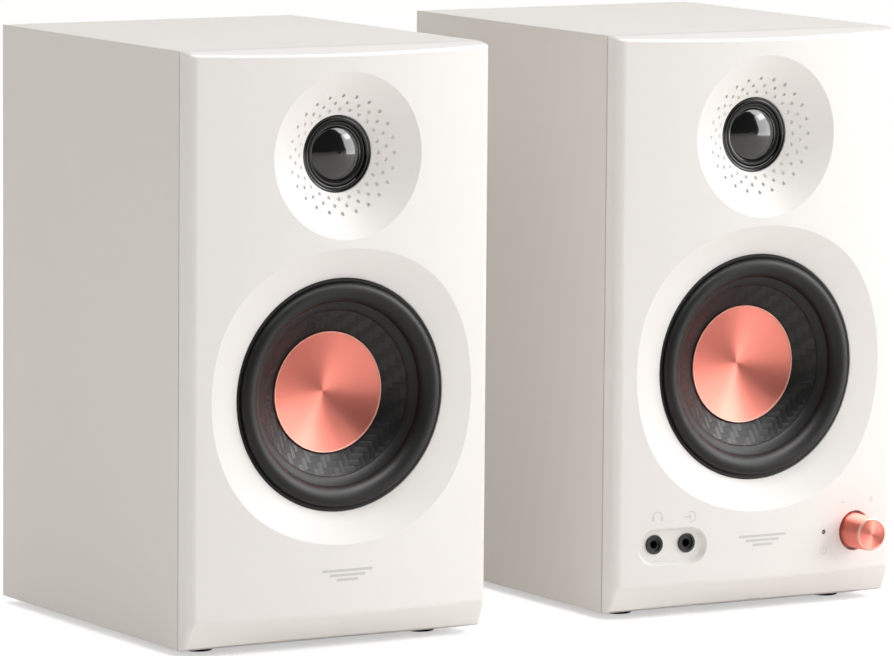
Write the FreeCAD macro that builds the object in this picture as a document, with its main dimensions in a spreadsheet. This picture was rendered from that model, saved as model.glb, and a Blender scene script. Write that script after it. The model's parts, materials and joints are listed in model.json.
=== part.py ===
import FreeCAD, Part
import os
import re
import Sketcher

# A pair of powered desktop monitors: the right one carries the amplifier and the front
# controls, the left one is passive.  Millimetres, +Z up, fronts toward -Y.  The origin lies
# on the desk, midway between the two speakers and midway between the foremost point, the
# volume knob's end, and the rearmost, the ends of the tone knobs.

# Driving dimensions.  Depths are measured from the seam between cabinet and front moulding,
# heights from the underside of the cabinet, both kept positive.
SIZES = {
    "speaker_pitch": 203.0,
    "seam_back": -73.15,
    "cab_width": 140.0,
    "cab_height": 245.0,
    "cab_depth": 159.0,
    "wall_thick": 12.0,
    "foot_height": 3.0,
    "foot_radius": 6.2,
    "foot_inset": 17.3,
    "seam_gap": 0.6,
    "edge_depth": 10.5,
    "crown_depth": 17.0,
    "corner_round": 3.8,
    "top_flat": 4.8,
    "top_fall": 2.1,
    "bevel_rise": 12.3,
    "bevel_foot": 5.5,
    "bevel_soft": 2.0,
    "spigot_length": 6.0,
    "woofer_height": 102.3,
    "woofer_bore": 48.3,
    "woofer_lip": 9.7,
    "woofer_dish": 61.0,
    "cone_radius": 38.2,
    "cone_slope": 0.656,
    "cone_thick": 0.8,
    "cap_radius": 25.2,
    "coil_radius": 13.0,
    "tweeter_height": 201.2,
    "tweeter_bore": 16.0,
    "tweeter_lip": 6.15,
    "tweeter_dish": 34.4,
    "dome_radius": 11.8,
    "port_height": 201.0,
    "port_radius": 19.0,
    "port_length": 86.0,
    "control_height": 29.5,
    "knob_offset": 49.4,
    "knob_drop": 0.5,
    "knob_radius": 7.45,
    "knob_end": 27.2,
    "knob_recess": 8.65,
    "jack_offset": -43.3,
    "jack_spacing": 15.0,
    "jack_bore": 1.8,
    "jack_collar": 4.05,
    "pill_depth": 2.5,
    "pill_drop": 0.9,
    "led_offset": 32.2,
    "shaft_radius": 3.0,
    "run_gap": 0.05,
    "plate_width": 104.0,
    "plate_height": 136.0,
    "plate_middle": 85.0,
    "plate_thick": 2.0,
    "board_depth": 142.0,
    "screw_radius": 1.75,
    "pin_radius": 1.0,
    "post_width": 44.0,
    "post_height": 34.0,
}

SIDES = {"left": -0.5, "right": 0.5}
ALIAS = re.compile(r"[a-z]+_[a-z]+")

doc = FreeCAD.newDocument("DesktopSpeakers")
sheet = doc.addObject("Spreadsheet::Sheet", "Sizes")
for row, (alias, number) in enumerate(SIZES.items(), start=1):
    sheet.set("A%d" % row, alias)
    sheet.set("B%d" % row, str(number))
    sheet.setAlias("B%d" % row, alias)
doc.recompute()


def bind(thing, prop, formula):
    """Tie one property to a formula written with the names of the driving dimensions."""
    thing.setExpression(prop, ALIAS.sub(r"Sizes.\g<0>", str(formula)))


def new_body(side, name, x="0", y="0", z="0"):
    """A sub-part of one speaker; x from its centre line, y from its seam, z from the desk."""
    label = side + "_" + name
    body = doc.addObject("PartDesign::Body", label)
    body.Label = label
    body.AllowCompound = True
    bind(body, "Placement.Base.x", "%s * speaker_pitch + (%s)" % (SIDES[side], x))
    bind(body, "Placement.Base.y", "seam_back + (%s)" % y)
    bind(body, "Placement.Base.z", "foot_height + (%s)" % z)
    return body


def sketch_on(body, plane, across="0", up="0", ahead="0"):
    """An empty sketch on one of the body's own planes, shifted in the sketch's own axes."""
    sketch = body.newObject("Sketcher::SketchObject", "Sketch")
    support = [item for item in body.Origin.OriginFeatures if item.Role == plane + "_Plane"][0]
    sketch.AttachmentSupport = (support, [""])
    sketch.MapMode = "FlatFace"
    bind(sketch, "AttachmentOffset.Base.x", across)
    bind(sketch, "AttachmentOffset.Base.y", up)
    bind(sketch, "AttachmentOffset.Base.z", ahead)
    return sketch


def fix_point(sketch, edge, end, x, y, start=(1.0, 1.0)):
    """Hold one point of a sketch at two bound distances from the sketch's origin."""
    across = sketch.addConstraint(Sketcher.Constraint("DistanceX", edge, end, start[0]))
    bind(sketch, "Constraints[%d]" % across, x)
    up = sketch.addConstraint(Sketcher.Constraint("DistanceY", edge, end, start[1]))
    bind(sketch, "Constraints[%d]" % up, y)


def outline(sketch, points):
    """A closed outline of straight edges through bound points."""
    count = len(points)
    first = sketch.GeometryCount
    for index in range(count):
        start = FreeCAD.Vector(index, index * index, 0)
        after = (index + 1) % count
        sketch.addGeometry(Part.LineSegment(start, FreeCAD.Vector(after, after * after, 0)))
    for index in range(count):
        after = first + (index + 1) % count
        sketch.addConstraint(Sketcher.Constraint("Coincident", first + index, 2, after, 1))
    for index, (x, y) in enumerate(points):
        fix_point(sketch, first + index, 1, x, y)
    return sketch


def box_outline(sketch, x, y, width, height):
    """A rectangle of bound width and height about a bound centre."""
    left = "(%s) - (%s) / 2" % (x, width)
    right = "(%s) + (%s) / 2" % (x, width)
    low = "(%s) - (%s) / 2" % (y, height)
    high = "(%s) + (%s) / 2" % (y, height)
    return outline(sketch, [(left, low), (right, low), (right, high), (left, high)])


def ring(sketch, x, y, radius):
    """A circle of bound centre and radius."""
    circle = sketch.addGeometry(Part.Circle(FreeCAD.Vector(0, 0, 0), FreeCAD.Vector(0, 0, 1), 1.0))
    fix_point(sketch, circle, 3, x, y)
    size = sketch.addConstraint(Sketcher.Constraint("Radius", circle, 1.0))
    bind(sketch, "Constraints[%d]" % size, radius)
    return sketch


def oval(sketch, half_width, half_height):
    """An ellipse about the sketch's origin, wider than it is high."""
    wide = FreeCAD.Vector(2, 0, 0)
    high = FreeCAD.Vector(0, 1, 0)
    sketch.addGeometry(Part.Ellipse(wide, high, FreeCAD.Vector(0, 0, 0)))
    sketch.exposeInternalGeometry(0)
    sketch.addConstraint(Sketcher.Constraint("Coincident", 0, 3, -1, 1))
    sketch.addConstraint(Sketcher.Constraint("Horizontal", 1))
    for axis, half in ((1, half_width), (2, half_height)):
        size = sketch.addConstraint(Sketcher.Constraint("Distance", axis, 2.0 * (3 - axis)))
        bind(sketch, "Constraints[%d]" % size, "2 * (%s)" % half)
    return sketch


def finish_feature(body, feature, sketch):
    """Give a feature its profile and make it the body's newest result."""
    feature.Profile = sketch
    feature.Refine = True
    body.Tip = feature
    return feature


def extrude(body, sketch, length, forward=True):
    """Add a prism along the sketch's normal, or against it."""
    pad = body.newObject("PartDesign::Pad", "Pad")
    bind(pad, "Length", length)
    pad.Reversed = not forward
    return finish_feature(body, pad, sketch)


def cut(body, sketch, length, forward=False):
    """Remove a prism against the sketch's normal, or along it."""
    pocket = body.newObject("PartDesign::Pocket", "Pocket")
    bind(pocket, "Length", length)
    pocket.Reversed = forward
    return finish_feature(body, pocket, sketch)


def cut_both_ways(body, sketch, length):
    """Remove a prism that reaches equally far to both sides of the sketch."""
    pocket = cut(body, sketch, length)
    pocket.SideType = "Symmetric"
    return pocket


def extrude_both_ways(body, sketch, length):
    """Add a prism that reaches equally far to both sides of the sketch."""
    pad = extrude(body, sketch, length)
    pad.SideType = "Symmetric"
    return pad


def turned(body, points):
    """Add a solid turned about the body's Y axis from (radius, depth) points."""
    sketch = outline(sketch_on(body, "XY"), points)
    turn = body.newObject("PartDesign::Revolution", "Turned")
    turn.ReferenceAxis = (sketch, ["V_Axis"])
    turn.Angle = 360.0
    return finish_feature(body, turn, sketch)


def repeated(body, feature, sketch, count):
    """Repeat a feature around the normal of a sketch."""
    pattern = body.newObject("PartDesign::PolarPattern", "Around")
    pattern.Originals = [feature]
    pattern.Axis = (sketch, ["N_Axis"])
    pattern.Angle = 360.0
    pattern.Occurrences = count
    body.Tip = pattern
    return pattern


def front_sketch(body, depth, x="0", z="0"):
    """A sketch facing forward, at a depth behind the body's origin."""
    return sketch_on(body, "XZ", across=x, up=z, ahead="-(%s)" % depth)


def disc_back(body, depth, radius, length, x="0", z="0"):
    """Add a round bar that starts at a depth and runs backward."""
    return extrude(body, ring(front_sketch(body, depth), x, z, radius), length, forward=False)


def bore_back(body, depth, radius, length, x="0", z="0"):
    """Drill a round hole that starts at a depth and runs backward."""
    return cut(body, ring(front_sketch(body, depth), x, z, radius), length)


def block_back(body, depth, width, height, length, x="0", z="0"):
    """Add a rectangular block that starts at a depth and runs backward."""
    return extrude(body, box_outline(front_sketch(body, depth), x, z, width, height), length, forward=False)


def window_back(body, depth, width, height, length, x="0", z="0"):
    """Cut a rectangular opening that starts at a depth and runs backward."""
    return cut(body, box_outline(front_sketch(body, depth), x, z, width, height), length)


def edges_where(feature, test):
    """Names of the edges of a feature whose middle point passes a test."""
    names = []
    for number, edge in enumerate(feature.Shape.Edges, start=1):
        middle = edge.valueAt((edge.FirstParameter + edge.LastParameter) / 2)
        if test(edge, middle):
            names.append("Edge%d" % number)
    return names


def rounded(body, feature, test, radius):
    """Round the edges of a feature that pass a test."""
    doc.recompute()
    names = edges_where(feature, test)
    if not names:
        raise ValueError("no edge to round on " + body.Label)
    fillet = body.newObject("PartDesign::Fillet", "Fillet")
    fillet.Base = (feature, names)
    bind(fillet, "Radius", radius)
    body.Tip = fillet
    return fillet


# Cabinet

def cabinet(side):
    """The wooden sleeve, open at front and back."""
    body = new_body(side, "cabinet", z="cab_height / 2")
    block_back(body, "0", "cab_width", "cab_height", "cab_depth")
    inner_width = "cab_width - 2 * wall_thick"
    inner_height = "cab_height - 2 * wall_thick"
    window_back(body, "0", inner_width, inner_height, "cab_depth")


def feet(side):
    """Four rubber feet under the cabinet, each rounded at the desk."""
    body = new_body(side, "feet", z="-foot_height")
    sketch = sketch_on(body, "XY")
    for x in ("cab_width / 2 - foot_inset", "foot_inset - cab_width / 2"):
        for y in ("foot_inset - 2.5", "cab_depth - foot_inset"):
            ring(sketch, x, y, "foot_radius")
    pads = extrude(body, sketch, "foot_height")
    rounded(body, pads, lambda edge, middle: middle.z < 0.01, "0.8")


def rear_panel(side):
    """The wooden back, let in flush, with openings for the port and the electrics."""
    body = new_body(side, "rear_panel", y="cab_depth - wall_thick")
    middle = "cab_height / 2"
    block_back(body, "0", "cab_width - 2 * wall_thick", "cab_height - 2 * wall_thick", "wall_thick", z=middle)
    bore_back(body, "0", "port_radius + 2", "wall_thick", z="port_height")
    if side == "right":
        window_back(body, "0", "plate_width - 20", "plate_height - 20", "wall_thick", z="plate_middle")
        for x, z in PLATE_HOLES:
            bore_back(body, "plate_thick", "screw_radius", "wall_thick", x=x, z="plate_middle + (%s)" % z)
    else:
        window_back(body, "0", "post_width - 12", "post_height - 12", "wall_thick", z="plate_middle")
        for x, z in POST_HOLES:
            bore_back(body, "wall_thick - 4", "screw_radius", "4", x=x, z="plate_middle + (%s)" % z)


def port_tube(side):
    """The bass-reflex tube with its flared mouth on the back."""
    body = new_body(side, "port_tube", y="cab_depth", z="port_height")
    turned(body, [
        ("port_radius", "6 - port_length"), ("port_radius + 2", "6 - port_length"),
        ("port_radius + 2", "0"), ("port_radius + 10", "0"), ("port_radius + 9", "2"),
        ("port_radius + 6", "2.4"), ("port_radius + 2.8", "1.6"), ("port_radius + 1", "-0.6"),
        ("port_radius + 0.2", "-4"), ("port_radius", "-8"),
    ])


def damping_pad(side):
    """A pad of wadding lying on the cabinet floor."""
    body = new_body(side, "damping_pad", y="34", z="wall_thick")
    pad = block_back(body, "0", "96", "18", "66", z="9")
    rounded(body, pad, lambda edge, middle: middle.z > 17.9, "3")


def pan_screws(side, name, places, shank):
    """Identical pan-head screws, given by place (x, depth under the head, z) and heading."""
    body = new_body(side, name)
    for x, depth, z in places:
        disc_back(body, depth, "3.2", "2.2", x=x, z=z)
        disc_back(body, "(%s) - %s" % (depth, shank), "screw_radius", shank, x=x, z=z)


def around(x, z, half_width, half_height):
    """The four corners of a rectangle about a point."""
    places = []
    for right in ("+", "-"):
        for up in ("+", "-"):
            places.append(("(%s) %s %s" % (x, right, half_width), "(%s) %s %s" % (z, up, half_height)))
    return places


TWEETER_HOLES = [("0", "22"), ("-19", "-11"), ("19", "-11")]
WOOFER_HOLES = around("0", "0", "37", "37")
PLATE_HOLES = around("0", "0", "(plate_width / 2 - 5)", "(plate_height / 2 - 5)")
PLATE_HOLES += around("0", "0", "(plate_width / 2 - 5)", "22")
POST_HOLES = around("0", "0", "(post_width / 2 - 3)", "(post_height / 2 - 3)")


def screws(side):
    """Identical screws: four behind the woofer, three behind the tweeter, four in a left terminal."""
    places = [(x, "-2", "woofer_height + (%s)" % z) for x, z in WOOFER_HOLES]
    places += [(x, "0", "tweeter_height + (%s)" % z) for x, z in TWEETER_HOLES]
    if side == "left":
        places += [(x, "cab_depth + 3", "plate_middle + (%s)" % z) for x, z in POST_HOLES]
    pan_screws(side, "screws", places, "7")


def plate_screws():
    """Eight identical screws round the amplifier plate."""
    places = [(x, "cab_depth + plate_thick", "plate_middle + (%s)" % z) for x, z in PLATE_HOLES]
    pan_screws("right", "plate_screws", places, "12")


# Front moulding

def bow_depth(x):
    """Depth of the bowed front ahead of the seam, at a distance from its centre line."""
    return "(crown_depth - (crown_depth - edge_depth) * ((%s) * 2 / cab_width) ^ 2)" % x


def bowed_outline(sketch, formulas, start):
    """A straight edge, two sides and a bowed edge, bound to a half width and three forward depths."""
    half, flat, edge, crown = formulas
    half_now, flat_now, edge_now, crown_now = start
    corners = [FreeCAD.Vector(-half_now, -flat_now, 0), FreeCAD.Vector(half_now, -flat_now, 0),
               FreeCAD.Vector(half_now, -edge_now, 0), FreeCAD.Vector(-half_now, -edge_now, 0)]
    sketch.addGeometry(Part.LineSegment(corners[0], corners[1]))
    sketch.addGeometry(Part.LineSegment(corners[1], corners[2]))
    sketch.addGeometry(Part.Arc(corners[3], FreeCAD.Vector(0, -crown_now, 0), corners[2]))
    sketch.addGeometry(Part.LineSegment(corners[3], corners[0]))
    sketch.addConstraint(Sketcher.Constraint("Coincident", 0, 2, 1, 1))
    sketch.addConstraint(Sketcher.Constraint("Coincident", 1, 2, 2, 2))
    sketch.addConstraint(Sketcher.Constraint("Coincident", 2, 1, 3, 1))
    sketch.addConstraint(Sketcher.Constraint("Coincident", 3, 2, 0, 1))
    fix_point(sketch, 0, 1, "-(%s)" % half, "-(%s)" % flat, corners[0])
    fix_point(sketch, 1, 1, half, "-(%s)" % flat, corners[1])
    fix_point(sketch, 2, 2, half, "-(%s)" % edge, corners[2])
    fix_point(sketch, 3, 1, "-(%s)" % half, "-(%s)" % edge, corners[3])
    bow = sketch.addConstraint(Sketcher.Constraint("Radius", 2, sketch.Geometry[2].Radius))
    rise = "((%s) - (%s))" % (crown, edge)
    bind(sketch, "Constraints[%d]" % bow, "((%s) ^ 2 + %s ^ 2) / (2 * %s)" % (half, rise, rise))
    return sketch


def lower_bevel(body):
    """Slope the lower front from the bow back to a straight foot line, and lift the underside."""
    half = "cab_width / 2 + 5"
    front = "4 * crown_depth"
    foot = outline(sketch_on(body, "XY"), [("-(%s)" % half, "-(%s)" % front), (half, "-(%s)" % front),
                                           (half, "-bevel_foot"), ("-(%s)" % half, "-bevel_foot")])
    head = sketch_on(body, "XY", ahead="2 * bevel_rise")
    bowed_outline(head, (half, front, "2 * %s - bevel_foot" % bow_depth(half), "2 * crown_depth - bevel_foot"),
                  (75, 68, 13.6, 28.5))
    slope = body.newObject("PartDesign::SubtractiveLoft", "Bevel")
    slope.Sections = [head]
    slope.Ruled = True
    finish_feature(body, slope, foot)
    lift = outline(sketch_on(body, "YZ"), [("-1.5", "0"), ("-14", "4"), ("-14", "-2"), ("-1.5", "-2")])
    return cut_both_ways(body, lift, "cab_width + 10")


def face_shell(body):
    """The moulding's outer form: bowed front, falling top, bevelled foot, soft corners."""
    plan = sketch_on(body, "XY")
    bowed_outline(plan, ("cab_width / 2", "seam_gap", "edge_depth", "crown_depth"),
                  (SIZES["cab_width"] / 2, SIZES["seam_gap"], SIZES["edge_depth"], SIZES["crown_depth"]))
    extrude(body, plan, "cab_height")
    top = sketch_on(body, "YZ")
    outline(top, [("-top_flat", "cab_height"),
                  ("-20", "cab_height - top_fall * (20 - top_flat) / (crown_depth - top_flat)"),
                  ("-20", "cab_height + 5"), ("-top_flat", "cab_height + 5")])
    slope = cut_both_ways(body, top, "cab_width + 10")
    side = SIZES["cab_width"] / 2 - 0.01
    upright = lambda edge, middle: abs(middle.x) > side and edge.BoundBox.ZLength > 5 and middle.y < -5
    rounded(body, slope, upright, "corner_round")
    bevel = lower_bevel(body)
    low = lambda edge, middle: 5 < middle.z < 20 and middle.y < -12 and edge.Length > 60
    soft = rounded(body, bevel, low, "bevel_soft")
    high = lambda edge, middle: middle.z > 235 and middle.y < -9 and edge.Length > 60
    rounded(body, soft, high, "1.5")


def spigot(body):
    """The core behind the seam groove and the rim that drops into the cabinet's mouth."""
    middle = "cab_height / 2"
    block_back(body, "-seam_gap", "cab_width - 2.4", "cab_height - 3.2", "seam_gap", z=middle)
    width = "cab_width - 2 * wall_thick"
    height = "cab_height - 2 * wall_thick"
    block_back(body, "0", width, height, "spigot_length", z=middle)
    window_back(body, "0", width + " - 6", height + " - 6", "spigot_length", z=middle)


def dish(body, height, bore, lip, rim):
    """A flared recess that opens from a round throat to a round outline on the bowed front."""
    side_depth = bow_depth(rim)
    reach = "(crown_depth + 1 - %s)" % lip
    throat = ring(front_sketch(body, "-(%s)" % lip, z=height), "0", "0", bore)
    mouth = front_sketch(body, "-(crown_depth + 1)", z=height)
    oval(mouth, "%s + (%s - %s) * %s / (%s - %s)" % (bore, rim, bore, reach, side_depth, lip),
         "%s + (%s - %s) * %s / (crown_depth - %s)" % (bore, rim, bore, reach, lip))
    flare = body.newObject("PartDesign::SubtractiveLoft", "Flare")
    flare.Sections = [mouth]
    flare.Ruled = True
    finish_feature(body, flare, throat)


def dimples(body):
    """Three rings of small blind holes in the tweeter's dish, the middle ring staggered."""
    for radius, turn in ((18.4, "0"), (21.3, "7.5"), (24.3, "0")):
        floor = "tweeter_lip - 0.4 + 0.5 * (%s - tweeter_bore)" % radius
        sketch = front_sketch(body, "-(crown_depth + 1)", z="tweeter_height")
        bind(sketch, "AttachmentOffset.Rotation.Angle", turn)
        ring(sketch, radius, "0", "0.7")
        hole = cut(body, sketch, "crown_depth + 1 - (%s)" % floor)
        repeated(body, hole, sketch, 24)


def jack_places():
    """Each front jack's place across and the recess floor's depth there."""
    places = []
    for side_step in ("-0.5", "0.5"):
        x = "jack_offset + (%s) * jack_spacing" % side_step
        places.append((x, "(%s - pill_depth)" % bow_depth(x)))
    return places


def pill_cut(body):
    """The shallow oblong recess around the two front jacks, square to the bowed front."""
    half_pitch = 8.35
    radius = 6.6
    floor = "-(%s - pill_depth)" % bow_depth("jack_offset")
    sketch = front_sketch(body, floor, x="jack_offset", z="control_height - pill_drop")
    sketch.AttachmentOffset = FreeCAD.Placement(FreeCAD.Vector(0, 0, 0),
                                                FreeCAD.Rotation(FreeCAD.Vector(0, 1, 0), -5))
    bind(sketch, "AttachmentOffset.Rotation.Angle",
         "atan(8 * (crown_depth - edge_depth) * jack_offset / cab_width ^ 2)")
    normal = FreeCAD.Vector(0, 0, 1)
    for sign, start in ((1, -1.5707963), (-1, 1.5707963)):
        circle = Part.Circle(FreeCAD.Vector(sign * half_pitch, 0, 0), normal, radius)
        sketch.addGeometry(Part.ArcOfCircle(circle, start, start + 3.1415927))
    for sign in (1, -1):
        sketch.addGeometry(Part.LineSegment(FreeCAD.Vector(sign * half_pitch, sign * radius, 0),
                                            FreeCAD.Vector(-sign * half_pitch, sign * radius, 0)))
    for first, second in ((0, 2), (2, 1), (1, 3), (3, 0)):
        sketch.addConstraint(Sketcher.Constraint("Tangent", first, 2, second, 1))
    fix_point(sketch, 0, 3, "jack_spacing / 2 + 0.85", "0", (half_pitch, 0))
    fix_point(sketch, 1, 3, "-jack_spacing / 2 - 0.85", "0", (-half_pitch, 0))
    for arc in (0, 1):
        sketch.addConstraint(Sketcher.Constraint("Radius", arc, radius))
    recess = cut(body, sketch, "8", forward=True)
    recess.TaperAngle = 28.0


def control_openings(body):
    """Jack, lamp and volume openings of the powered speaker's front."""
    pill_cut(body)
    for x, floor in jack_places():
        bore_back(body, "-%s - 1" % floor, "jack_collar", "%s - 5" % floor, x=x, z="control_height")
    bore_back(body, "-crown_depth", "1", "crown_depth - 6", x="led_offset", z="control_height + 0.2")
    knob_height = "control_height - knob_drop"
    bore_back(body, "-crown_depth", "knob_recess", "crown_depth - 8", x="knob_offset", z=knob_height)
    bore_back(body, "-9", "5.4", "3", x="knob_offset", z=knob_height)


def front_baffle(side):
    """The moulded front with both driver recesses and, on the right, the control openings."""
    body = new_body(side, "front_baffle")
    face_shell(body)
    spigot(body)
    dish(body, "woofer_height", "woofer_bore", "woofer_lip", "woofer_dish")
    dish(body, "tweeter_height", "tweeter_bore", "tweeter_lip", "tweeter_dish")
    bore_back(body, "-woofer_lip - 1", "woofer_bore", "12", z="woofer_height")
    bore_back(body, "-5", "woofer_bore + 7.6", "6 + spigot_length", z="woofer_height")
    bore_back(body, "-tweeter_lip - 1", "tweeter_bore", "8", z="tweeter_height")
    bore_back(body, "-3", "26.2", "4 + spigot_length", z="tweeter_height")
    window_back(body, "-7", "116", "24", "8 + spigot_length", z="control_height - 1.5")
    for x, z in WOOFER_HOLES:
        bore_back(body, "-9", "screw_radius", "5", x=x, z="woofer_height + (%s)" % z)
    for x, z in TWEETER_HOLES:
        bore_back(body, "-7", "screw_radius", "5", x=x, z="tweeter_height + (%s)" % z)
    dimples(body)
    if side == "right":
        control_openings(body)


# Woofer, in its own frame: depth 0 at the seam, radii from the driver's axis

def cone_depth(radius):
    """Depth of the cone's front skin at a radius."""
    return "(-7.4 + (cone_radius - (%s)) * cone_slope)" % radius


def woofer_body(side, name):
    """A sub-part on the woofer's axis."""
    return new_body(side, name, z="woofer_height")


def woofer_basket(side):
    """The metal frame: front flange, six legs, spider shelf and magnet seat."""
    body = woofer_body(side, "woofer_basket")
    turned(body, [
        ("woofer_bore - 0.3", "-woofer_lip + 1.3"), ("woofer_bore - 0.3", "-5"), ("55.6", "-5"),
        ("55.6", "-2"), ("46.5", "-2"), ("36", "19.5"), ("15", "19.5"), ("15", "17.5"),
        ("27.5", "17.5"), ("27.5", "15"), ("34.5", "15"), ("44", "-4"), ("44", "-woofer_lip + 1.3"),
    ])
    slot = sketch_on(body, "XY")
    outline(slot, [("34.5", "12.5"), ("43.6", "-1"), ("50", "-1"), ("40.5", "12.5")])
    window = body.newObject("PartDesign::Groove", "Window")
    window.ReferenceAxis = (slot, ["V_Axis"])
    window.Angle = 38.0
    window.Midplane = True
    finish_feature(body, window, slot)
    repeated(body, window, front_sketch(body, "0"), 6)
    for x, z in WOOFER_HOLES:
        bore_back(body, "-5", "screw_radius", "4", x=x, z=z)


def woofer_surround(side):
    """The rubber half-roll between frame and cone."""
    body = woofer_body(side, "woofer_surround")
    inner_lip = "cone_radius - 3.9"
    turned(body, [
        ("woofer_bore - 0.3", "-woofer_lip"), ("woofer_bore - 0.3", "-woofer_lip + 1.3"),
        ("44", "-woofer_lip + 1.3"), ("44", "-7.6"), ("43.2", "-10.2"), ("41.6", "-11.2"),
        ("39.9", "-10.4"), ("39", "-8.8"), ("cone_radius", cone_depth("cone_radius")),
        (inner_lip, cone_depth(inner_lip)), (inner_lip, cone_depth(inner_lip) + " - 0.6"),
        ("cone_radius - 0.4", cone_depth("cone_radius - 0.4") + " - 1"), ("38.6", "-9.9"),
        ("39.8", "-11.6"), ("41.6", "-12.2"), ("44.1", "-11.6"), ("45.4", "-9.9"),
    ])


def woofer_cone(side):
    """The woven cone, from the surround down to the voice coil."""
    body = woofer_body(side, "woofer_cone")
    turned(body, [
        ("cone_radius", cone_depth("cone_radius")),
        ("cone_radius", cone_depth("cone_radius") + " + cone_thick"),
        ("coil_radius", cone_depth("coil_radius") + " + cone_thick"),
        ("coil_radius", cone_depth("coil_radius")),
    ])


def dust_cap(side):
    """The dished metal cap with its raised bevelled rim."""
    body = woofer_body(side, "dust_cap")
    turned(body, [
        ("0", "5.1"), ("8", "4.6"), ("16", "3.4"), ("cap_radius - 2.2", "1.5"),
        ("cap_radius - 1.1", "-0.1"), ("cap_radius - 0.3", "0"), ("cap_radius", "0.5"),
        ("cap_radius", cone_depth("cap_radius")), ("cap_radius - 1.4", cone_depth("cap_radius - 1.4")),
        ("16", "4.2"), ("8", "5.4"), ("0", "5.9"),
    ])


def voice_coil(side):
    """The coil former with its copper winding."""
    body = woofer_body(side, "voice_coil")
    turned(body, [
        ("coil_radius - 0.4", cone_depth("coil_radius")), ("coil_radius - 0.4", "31"),
        ("coil_radius + 0.5", "31"), ("coil_radius + 0.5", "21"), ("coil_radius", "21"),
        ("coil_radius", cone_depth("coil_radius")),
    ])


def spider(side):
    """The corrugated cloth disc that centres the coil."""
    body = woofer_body(side, "spider")
    turned(body, [
        ("coil_radius", "14.4"), ("16", "13.6"), ("19", "15"), ("22", "13.6"), ("25", "15"),
        ("27.5", "14.4"), ("34", "14.4"), ("34", "15"), ("27.5", "15"), ("25", "15.6"),
        ("22", "14.2"), ("19", "15.6"), ("16", "14.2"), ("coil_radius", "15"),
    ])


def woofer_magnet(side):
    """The ferrite ring."""
    body = woofer_body(side, "woofer_magnet")
    turned(body, [("19", "24.5"), ("37.5", "24.5"), ("37.5", "36.5"), ("19", "36.5")])


def woofer_poles(side):
    """The steel top plate, and the back plate with its pole."""
    body = woofer_body(side, "woofer_poles")
    turned(body, [("coil_radius + 1.2", "19.5"), ("33", "19.5"), ("33", "24.5"),
                  ("coil_radius + 1.2", "24.5")])
    turned(body, [("0", "19"), ("coil_radius - 1", "19"), ("coil_radius - 1", "36.5"), ("33", "36.5"),
                  ("33", "41.5"), ("0", "41.5")])


# Tweeter, in its own frame

def tweeter_body(side, name):
    """A sub-part on the tweeter's axis."""
    return new_body(side, name, z="tweeter_height")


def tweeter_frame(side):
    """The face ring around the dome with its screw flange behind the moulding."""
    body = tweeter_body(side, "tweeter_frame")
    turned(body, [
        ("14.4", "-tweeter_lip + 0.6"), ("tweeter_bore - 0.6", "-tweeter_lip"),
        ("tweeter_bore - 0.1", "-tweeter_lip + 0.3"), ("tweeter_bore - 0.1", "-3"), ("26", "-3"),
        ("26", "0"), ("13.2", "0"), ("13.2", "-4.4"), ("14.4", "-4.4"),
    ])
    for x, z in TWEETER_HOLES:
        bore_back(body, "-3", "screw_radius", "3", x=x, z=z)


def tweeter_roll(side):
    """The dome's narrow hanging roll."""
    body = tweeter_body(side, "tweeter_roll")
    turned(body, [
        ("dome_radius", "-4.8"), ("dome_radius + 0.4", "-5.5"), ("dome_radius + 0.9", "-5.5"),
        ("13.3", "-4.8"), ("14.4", "-4.8"), ("14.4", "-4.4"), ("13.1", "-4.4"),
        ("dome_radius + 0.8", "-5"), ("dome_radius + 0.5", "-5"), ("dome_radius", "-4.4"),
    ])


def tweeter_dome(side):
    """The thin dome, in one with the former of its light coil."""
    body = tweeter_body(side, "tweeter_dome")
    turned(body, [
        ("0", "-8.2"), ("3", "-8"), ("6", "-7.4"), ("8.6", "-6.5"), ("10.5", "-5.6"),
        ("dome_radius", "-4.8"), ("dome_radius", "3"), ("dome_radius - 0.5", "3"),
        ("dome_radius - 0.5", "-4.4"), ("10.1", "-5.1"), ("8.3", "-6"), ("5.8", "-6.9"), ("2.9", "-7.5"),
        ("0", "-7.7"),
    ])


def tweeter_motor(side):
    """The closed motor: outer cup with flange, and inner plug."""
    body = tweeter_body(side, "tweeter_motor")
    turned(body, [
        ("dome_radius + 0.6", "0"), ("18", "0"), ("18", "17"), ("0", "17"), ("0", "-1"),
        ("dome_radius - 1", "-1"), ("dome_radius - 1", "12"), ("dome_radius + 0.6", "12"),
    ])


# Electrics

def spring_terminal(side, x, z, face):
    """A two-way spring terminal: block with wire holes, and a lever over each hole."""
    block = new_body(side, "terminal_block", x=x, y=face, z=z)
    block_back(block, "-12", "post_width - 12", "post_height - 12", "12")
    block_back(block, "0", "post_width", "post_height", "3")
    for step in ("-8", "8"):
        bore_back(block, "-8", "1.6", "11", x=step, z="-7.5")
        window_back(block, "-5", "9", "13", "8", x=step, z="2.5")
    pivot = ring(sketch_on(block, "YZ"), "-2", "7", "pin_radius + run_gap")
    cut_both_ways(block, pivot, "post_width - 14")
    if side == "left":
        for hole_x, hole_z in POST_HOLES:
            bore_back(block, "0", "screw_radius", "3", x=hole_x, z=hole_z)
    for name, step in (("red_lever", "-8"), ("black_lever", "8")):
        lever = new_body(side, name, x="(%s) + (%s)" % (x, step), y="(%s) - 2" % face, z="(%s) + 7" % z)
        shape = outline(sketch_on(lever, "YZ"), [
            ("-1.6", "-1.6"), ("1.6", "-6"), ("6.2", "-7.6"), ("8.4", "-5.4"), ("6.8", "-3.4"),
            ("2.4", "1.6"), ("-1.6", "1.6"),
        ])
        extrude_both_ways(lever, shape, "8.6")
        extrude_both_ways(lever, ring(sketch_on(lever, "YZ"), "0", "0", "pin_radius"), "11")


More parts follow.
